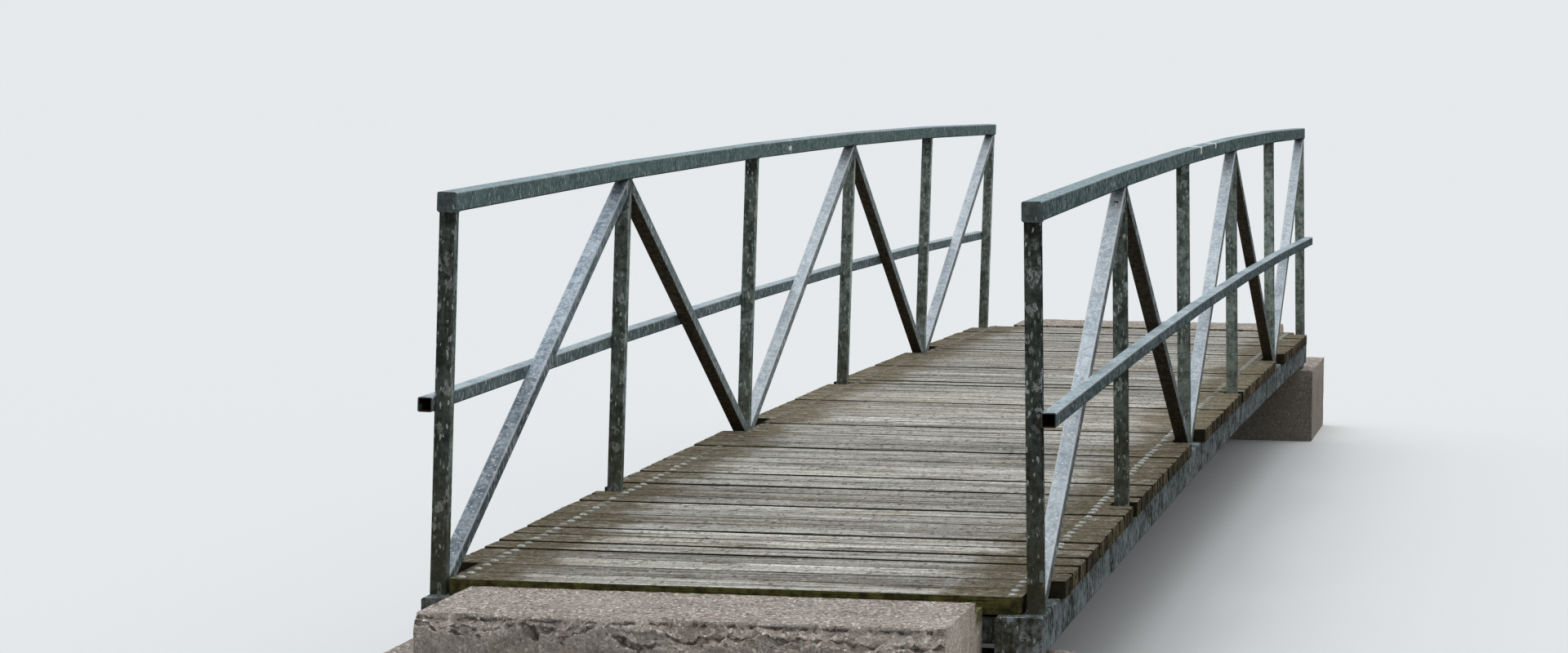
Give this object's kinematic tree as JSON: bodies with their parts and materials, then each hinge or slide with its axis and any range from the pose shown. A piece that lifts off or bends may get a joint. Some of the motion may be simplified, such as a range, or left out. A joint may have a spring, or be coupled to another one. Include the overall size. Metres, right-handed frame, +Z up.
{
  "type": "footbridge",
  "caption": "Cambered footbridge with trussed galvanised steel side frames, square handrails and mid rails, a timber plank deck and concrete abutments.",
  "frame": {"origin": "middle of the footprint on the level floor under the abutments", "axes": "+X along the bridge towards the far end, +Y towards the left railing as seen from the near end, +Z up"},
  "size_m": [13.7, 2, 1.8025],
  "materials": {
    "side_frame_steel": "weathered hot-dip galvanised square tube with a spangle, dark streaks and moss stains near the feet",
    "floor_frame_steel": "dull weathered galvanised steel",
    "deck_timber": "silver-grey weathered softwood planks with fine lengthwise grooves, moss along the sides and dark cracked ends",
    "abutment_concrete": "rough weathered concrete with a pinkish-grey aggregate"
  },
  "bodies": {
    "root": {"girder_left": "floor_frame_steel", "girder_right": "floor_frame_steel", "cross_beam_1": "floor_frame_steel", "cross_beam_2": "floor_frame_steel", "cross_beam_3": "floor_frame_steel", "cross_beam_4": "floor_frame_steel", "cross_beam_5": "floor_frame_steel", "cross_beam_6": "floor_frame_steel", "handrail_left": "side_frame_steel", "handrail_right": "side_frame_steel", "handrail_end_caps_left": "side_frame_steel", "handrail_end_caps_right": "side_frame_steel", "mid_rail_left": "side_frame_steel", "mid_rail_right": "side_frame_steel", "post_left_1": "side_frame_steel", "post_left_2": "side_frame_steel", "post_left_3": "side_frame_steel", "post_left_4": "side_frame_steel", "post_left_5": "side_frame_steel", "post_left_6": "side_frame_steel", "post_right_1": "side_frame_steel", "post_right_2": "side_frame_steel", "post_right_3": "side_frame_steel", "post_right_4": "side_frame_steel", "post_right_5": "side_frame_steel", "post_right_6": "side_frame_steel", "brace_left_1": "side_frame_steel", "brace_left_2": "side_frame_steel", "brace_left_3": "side_frame_steel", "brace_left_4": "side_frame_steel", "brace_left_5": "side_frame_steel", "brace_right_1": "side_frame_steel", "brace_right_2": "side_frame_steel", "brace_right_3": "side_frame_steel", "brace_right_4": "side_frame_steel", "brace_right_5": "side_frame_steel", "deck_bay_1": "deck_timber", "deck_bay_2": "deck_timber", "deck_bay_3": "deck_timber", "deck_bay_4": "deck_timber", "deck_bay_5": "deck_timber", "abutment_near": "abutment_concrete", "abutment_far": "abutment_concrete"}
  },
  "joints": []
}
